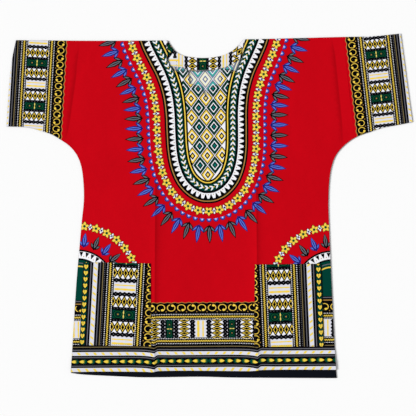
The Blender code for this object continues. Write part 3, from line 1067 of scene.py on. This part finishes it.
def cloth_piece(name, node, cloth, lines, spacing, material):
    """A closed thin shell of printed cloth on its solid's form.

    The side that shows has the whole print cut into it, and the hidden side its larger shapes.
    """
    under, over = SURFACES[node]
    is_back = node == "back"
    seen = cut_cloth(RIMS[node], cloth, lines, spacing)
    ring = seen.points[seen.rim]
    hidden = cut_cloth(ring, cloth.larger_shapes(NECK_VIEW if is_back else None), lines, spacing)
    # Both rims start at the same point
    first = np.hypot(*(hidden.points[hidden.rim] - ring[0]).T).argmin()
    hidden = hidden._replace(rim=np.roll(hidden.rim, -first))
    upper, lower = (hidden, seen) if is_back else (seen, hidden)
    high = over(upper.points)
    low = under(lower.points)
    rim_high = over(ring)
    rim_low = under(ring)
    # The edge bulges a little, as a turned edge does
    run = np.roll(ring, -1, axis=0) - np.roll(ring, 1, axis=0)
    out = np.column_stack([run[:, 1], -run[:, 0]]) / np.maximum(np.hypot(*run.T), 1e-9)[:, None]
    bulge = ring + out * EDGE_BULGE * (rim_high - rim_low)[:, None]
    coords = np.vstack([
        np.column_stack([upper.points, high]),
        np.column_stack([lower.points, low]),
        np.column_stack([bulge, (rim_high + rim_low) / 2.0]),
    ])
    # The edge runs from the upper rim by the bulge to the lower rim, whose points need not match
    rims = [upper.rim, len(high) + len(low) + np.arange(len(ring)), lower.rim + len(high)]
    flats = [upper.points[upper.rim], ring, lower.points[lower.rim]]
    walls = []
    wall_map = []
    for first_line in (0, 1):
        for triangle in strip(flats[first_line], flats[first_line + 1]):
            corners = [(first_line + line, index) for line, index in triangle]
            walls.append([int(rims[line][index % len(rims[line])]) for line, index in corners])
            for line, index in corners:
                share = index / len(rims[line])
                wall_map.append((MAP_EDGE + MAP_SPAN * share, WALL_TOP - MAP_EDGE * line))
    turned = lower.triangles[:, ::-1] + len(high)
    faces = [*upper.triangles.tolist(), *turned.tolist(), *walls]
    mesh = bpy.data.meshes.new(name)
    mesh.from_pydata((coords * MM).tolist(), [], faces)
    up = slopes(over, upper.points)
    down = -slopes(under, lower.points)
    side = np.column_stack([out, np.zeros(len(ring))])
    mesh.shade_smooth()
    mesh.normals_split_custom_set_from_vertices(np.vstack([up, down, side]).tolist())
    paint(mesh, upper, lower, len(walls), is_back)
    bake_map(mesh, upper, lower, seen, wall_map)
    mesh.materials.append(material)
    return placed(name, mesh)


def paint(mesh, upper, lower, walls, is_back):
    """The dye of each face as a colour on its corners, with painted shade on the edge walls. The
    back lies with its wrong side up.
    """
    shades = {name: [[*linear(value), 1.0] for value in pair] for name, pair in DYES.items()}
    above = np.array([shades[dye][1 if is_back else 0] for dye in upper.dyes])
    below = np.array([shades[dye][0 if is_back else 1] for dye in lower.dyes])
    if is_back:
        middles = upper.points[upper.triangles].mean(axis=1)
        above[nearest_run(middles, HEM_OF_BACK) < HEM_DEPTH] = [*linear(HEM_ALLOWANCE), 1.0]
    # The edge walls are painted dark, as painted shade along the cloth's edges
    edge = np.tile([*linear(EDGE_WALL_SHADE), 1.0], (walls, 1))
    colours = np.repeat(np.vstack([above, below, edge]), 3, axis=0)
    layer = mesh.color_attributes.new("dye", "FLOAT_COLOR", "CORNER")
    layer.data.foreach_set("color", colours.ravel())


# The flat map of a piece: its margin and span, the top row for the edge, the room left above the
# side that shows, and the hidden side's scale and place
MAP_EDGE = 0.01
MAP_SPAN = 0.98
WALL_TOP = 0.99
MAP_ROOM = 1.18
HIDDEN_SCALE = 0.15
HIDDEN_PLACE = (0.01, 0.84)


def bake_map(mesh, upper, lower, seen, wall_map):
    """Lays the side that shows out large, the hidden one small above it, and the edge on top."""
    origin = seen.points.min(axis=0)
    size = seen.points.max(axis=0) - origin
    scale = MAP_SPAN / max(size[0], size[1] * MAP_ROOM)
    corners = []
    for side in (upper, lower):
        flat = (side.points - origin) * scale
        flat = flat + MAP_EDGE if side is seen else flat * HIDDEN_SCALE + HIDDEN_PLACE
        order = side.triangles if side is upper else side.triangles[:, ::-1]
        corners.append(flat[order].reshape(-1, 2))
    layer = mesh.uv_layers.new(name="OFBake")
    layer.data.foreach_set("uv", np.vstack([*corners, wall_map]).ravel())


# Materials

def add_node(tree, kind, links=(), **settings):
    """Adds a node, sets its values by name, and links (output, input name) pairs to it."""
    node = tree.nodes.new(kind)
    for key, value in settings.items():
        if hasattr(node, key):
            setattr(node, key, value)
        else:
            node.inputs[key.replace("_", " ")].default_value = value
    for output, socket in links:
        tree.links.new(output, node.inputs[socket])
    return node


# Sizes that the materials are drawn to, in metres
THREAD_PITCH = 0.0022
THREAD_DEPTH = 0.00012
SLUB_SIZE = 0.004
FADE_SIZE = 0.09
RUMPLE_SIZE = 0.03
RUMPLE_DEPTH = 0.0011
PLY_PITCH = 0.0008
# How far apart a wave texture's bands lie at scale 1
WAVE_TEXTURE_PITCH = 0.314


def new_material(name, roughness, gloss):
    """A material with its tree and shader, whose roughness and specular level are set."""
    material = bpy.data.materials.new(name)
    material.use_nodes = True
    shader = material.node_tree.nodes["Principled BSDF"]
    shader.inputs["Roughness"].default_value = roughness
    shader.inputs["Specular IOR Level"].default_value = gloss
    return material, material.node_tree, shader


def bands(tree, place, direction, pitch, distortion=0.0):
    """The height of fine bands across a direction."""
    wave = add_node(
        tree, "ShaderNodeTexWave", [(place, "Vector")],
        bands_direction=direction, Scale=WAVE_TEXTURE_PITCH / pitch, Distortion=distortion,
    )
    return wave.outputs["Fac"]


def patches(tree, place, size, detail):
    """The strength of soft uneven patches of a size."""
    links = [(place, "Vector")]
    noise = add_node(tree, "ShaderNodeTexNoise", links, Scale=1.0 / size, Detail=detail)
    return noise.outputs["Fac"]


def between(tree, value, low, high):
    """A value from 0 to 1 spread from low to high."""
    spread = add_node(tree, "ShaderNodeMapRange", [(value, "Value")], To_Min=low, To_Max=high)
    return spread.outputs["Result"]


def product(tree, first, second):
    links = [(first, 0), (second, 1)]
    return add_node(tree, "ShaderNodeMath", links, operation="MULTIPLY").outputs["Value"]


def printed_cotton():
    """Plain-weave cotton printed both ways with wax resist.

    The dye sits in the threads, so the cloth stays matt and its colours full. The weave's real
    pitch is about 0.4 mm, which would not show, so it is drawn five times as coarse and very faint.
    """
    material, tree, shader = new_material("wax_printed_cotton", 0.85, 0.02)
    place = add_node(tree, "ShaderNodeTexCoord").outputs["Object"]
    dye = add_node(tree, "ShaderNodeAttribute", attribute_name="dye").outputs["Color"]

    # Dye takes a little unevenly over the cloth, and thread by thread
    broad = between(tree, patches(tree, place, FADE_SIZE, 3.0), 0.93, 1.05)
    fine = between(tree, patches(tree, place, SLUB_SIZE, 2.0), 0.93, 1.07)
    links = [(dye, 0), (product(tree, broad, fine), "Scale")]
    tinted = add_node(tree, "ShaderNodeVectorMath", links, operation="SCALE")
    tree.links.new(tinted.outputs["Vector"], shader.inputs["Base Color"])

    # Warp and weft cross at right angles, over soft rumples left by folding and wear
    warp = bands(tree, place, "X", THREAD_PITCH, 0.6)
    weft = bands(tree, place, "Y", THREAD_PITCH, 0.6)
    links = [(product(tree, warp, weft), "Height")]
    threads = add_node(tree, "ShaderNodeBump", links, Strength=0.5, Distance=THREAD_DEPTH)
    rumples = patches(tree, place, RUMPLE_SIZE, 1.5)
    links = [(rumples, "Height"), (threads.outputs["Normal"], "Normal")]
    rumpled = add_node(tree, "ShaderNodeBump", links, Strength=0.6, Distance=RUMPLE_DEPTH)
    tree.links.new(rumpled.outputs["Normal"], shader.inputs["Normal"])
    return material


def sewing_thread(name, colour):
    """Spun polyester thread, a little glossier than the cotton, with its plies as a fine twist
    drawn in painted shade.
    """
    material, tree, shader = new_material(name, 0.5, 0.4)
    place = add_node(tree, "ShaderNodeTexCoord").outputs["Object"]
    # Painted shade: fine diagonal bands darken the thread to 0.7 where the grooves between its
    # plies lie
    ply_shade = between(tree, bands(tree, place, "DIAGONAL", PLY_PITCH), 0.7, 1.0)
    thread = add_node(tree, "ShaderNodeVectorMath", [(ply_shade, "Scale")], operation="SCALE")
    thread.inputs[0].default_value = linear(colour)
    tree.links.new(thread.outputs["Vector"], shader.inputs["Base Color"])
    return material


# Sewing

STITCH_LENGTH = 3.0
STITCH_PITCH = 4.2
STITCH_RADIUS = 0.26
STITCH_LIFT = 0.12
# Where along its length a stitch bends down on each side, and how its ends sink and thin out
STITCH_BEND = 0.28
STITCH_END = 0.45
END_DEPTH = 0.3
END_THINNING = 0.6


def one_stitch():
    """One lockstitch as points and faces: a short thread whose ends dip into the cloth."""
    bpy.ops.object.select_all(action="DESELECT")
    bpy.ops.mesh.primitive_cylinder_add(
        vertices=6, radius=STITCH_RADIUS * MM, depth=STITCH_LENGTH * MM,
        rotation=(0.0, math.pi / 2.0, 0.0),
    )
    stitch = bpy.context.object
    bpy.ops.object.transform_apply(location=True, rotation=True, scale=True)
    bpy.ops.object.mode_set(mode="EDIT")
    for share in (-STITCH_BEND, STITCH_BEND):
        bpy.ops.mesh.select_all(action="SELECT")
        along = share * STITCH_LENGTH * MM
        bpy.ops.mesh.bisect(plane_co=(along, 0.0, 0.0), plane_no=(1.0, 0.0, 0.0))
    bpy.ops.object.mode_set(mode="OBJECT")
    for vertex in stitch.data.vertices:
        if abs(vertex.co.x) > STITCH_END * STITCH_LENGTH * MM:
            vertex.co.y *= END_THINNING
            vertex.co.z = vertex.co.z * END_THINNING - END_DEPTH * MM
    points = np.array([tuple(vertex.co) for vertex in stitch.data.vertices]) / MM
    faces = [list(face.vertices) for face in stitch.data.polygons]
    bpy.data.objects.remove(stitch)
    return points, faces


def inset(line, distance):
    """A line moved to its left, which is inwards on an outline that runs anticlockwise."""
    return moved_out(line, -distance)


def stitch_row(name, lines, surface, stitch, material):
    """Rows of stitches along lines on a surface, joined in one mesh."""
    points, faces = stitch
    coords = []
    joined = []
    for line in lines:
        for place in stations(line, STITCH_PITCH):
            flat = place.at(points[:, :2])
            top = surface(place.origin[None, :])[0]
            joined += [[index + len(points) * len(coords) for index in face] for face in faces]
            coords.append(np.column_stack([flat, points[:, 2] + top + STITCH_LIFT]))
    mesh = bpy.data.meshes.new(name)
    mesh.from_pydata((np.vstack(coords) * MM).tolist(), [], joined)
    mesh.shade_smooth()
    mesh.materials.append(material)
    row = placed(name, mesh)
    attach(row, "root")
    return row


def chain_of(runs):
    """Joins short runs that follow one another into long lines."""
    lines = [np.array(runs[0])]
    for run in runs[1:]:
        if np.allclose(lines[-1][-1], run[0]):
            lines[-1] = np.vstack([lines[-1], run[1:]])
        else:
            lines.append(np.array(run))
    if len(lines) > 1 and np.allclose(lines[-1][-1], lines[0][0]):
        lines[0] = np.vstack([lines.pop(), lines[0][1:]])
    return lines


def is_cuff(middles):
    return (np.abs(middles[:, 0]) > CUFF_ACROSS) & (middles[:, 1] > CUFF_LEVEL)


def pocket_seam(name):
    """The pocket's two sides and its bottom, from the top edge round to it again."""
    rim = RIMS[name]
    top = rim[:, 1].max() - POCKET_TOP
    return chain_of(stretch_of(rim, lambda middles: middles[:, 1] < top))


# How far inside an edge its stitches run
HEM_STITCHES = 17.0
NECK_STITCHES = 2.5
FACING_STITCHES = 2.0
POCKET_STITCHES = 2.5
DARK_THREAD = "#15151A"
PALE_THREAD = "#DADAE0"


def main():
    cotton = printed_cotton()
    shirt = shirt_print()
    back_lines = [inset(line, HEM_DEPTH)[1:-1] for line in chain_of(HEM_OF_BACK)]
    back_lines += crease_lines(BACK_CREASES, BACK_CREASE_MESH)
    front_lines = crease_lines(CREASES, FRONT_CREASE_MESH)
    # Each node's print, lines of mesh edges and mesh spacing
    plans = {
        "back": (shirt, back_lines, BACK_MESH),
        "front": (shirt, front_lines, FRONT_MESH),
        "neck_facing": (facing_print(), [], FACING_MESH),
        "pocket_left": (pocket_print("pocket_left"), front_lines, FRONT_MESH),
        "pocket_right": (pocket_print("pocket_right"), front_lines, FRONT_MESH),
    }
    pieces = {}
    for node, (cloth, lines, spacing) in plans.items():
        name = node.removeprefix("neck_") + "_cloth"
        pieces[node] = cloth_piece(name, node, cloth, lines, spacing, cotton)
    for node, piece in pieces.items():
        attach(piece, "root")
        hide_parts(node)

    dark = sewing_thread("black_polyester_thread", DARK_THREAD)
    pale = sewing_thread("white_polyester_thread", PALE_THREAD)
    stitch = one_stitch()
    hems = chain_of(HEM_OF_FRONT) + chain_of(stretch_of(RIMS["front"], is_cuff))
    hem_lines = [inset(line, HEM_STITCHES)[2:-2] for line in hems]
    neck_lines = [inset(line, NECK_STITCHES) for line in chain_of(NECK_OF_FRONT)]
    front_sewing = [
        stitch_row("hem_stitches", hem_lines, front_top, stitch, dark),
        stitch_row("neck_stitches", neck_lines, front_top, stitch, pale),
    ]
    facing_top = SURFACES["neck_facing"][1]
    facing_edge = stretch_of(RIMS["neck_facing"], lambda middles: middles[:, 1] < FACING_LEVEL)
    facing_lines = [inset(line, FACING_STITCHES) for line in chain_of(facing_edge)]
    facing_sewing = [stitch_row("facing_stitches", facing_lines, facing_top, stitch, pale)]

    for name in ("pocket_left", "pocket_right"):
        lines = [inset(line, POCKET_STITCHES)[1:-1] for line in pocket_seam(name)]
        row = stitch_row(name + "_stitches", lines, SURFACES[name][1], stitch, dark)


# The photo's view and light: lens and sensor in millimetres, places in metres, turns in degrees
LENS = 85.0
SENSOR = 36.0
CAMERA_PLACE = (-0.00345, -0.00656, 2.262)
FLOOR_SIZE = 6.0
PAPER = "#F7F7F7"
SUN_STRENGTH = 3.7
SUN_WIDTH = 25.0
SUN_TURN = -58.0
SKY = "#FFFFFF"
SKY_STRENGTH = 0.42


def studio():
    """The camera straight above, a white paper floor, and soft light from the viewer's left."""
    scene = bpy.context.scene
    camera = placed("camera", bpy.data.cameras.new("camera"))
    camera.data.lens = LENS
    camera.data.sensor_width = SENSOR
    camera.location = CAMERA_PLACE
    scene.camera = camera
    bpy.ops.mesh.primitive_plane_add(size=FLOOR_SIZE, location=(0.0, 0.0, 0.0))
    floor = bpy.context.object
    floor.name = "floor"
    # Matt white paper, which takes soft shadows without glare
    paper, _, shader = new_material("white_paper_sweep", 0.9, 0.5)
    shader.inputs["Base Color"].default_value = (*linear(PAPER), 1.0)
    floor.data.materials.append(paper)
    sun = placed("key", bpy.data.lights.new("key", "SUN"))
    sun.data.energy = SUN_STRENGTH
    sun.data.angle = math.radians(SUN_WIDTH)
    sun.rotation_euler = (0.0, math.radians(SUN_TURN), 0.0)
    world = bpy.data.worlds.new("soft_daylight")
    world.use_nodes = True
    sky = world.node_tree.nodes["Background"]
    sky.inputs["Color"].default_value = (*linear(SKY), 1.0)
    sky.inputs["Strength"].default_value = SKY_STRENGTH
    scene.world = world
    scene.view_settings.view_transform = "Standard"


studio()
main()
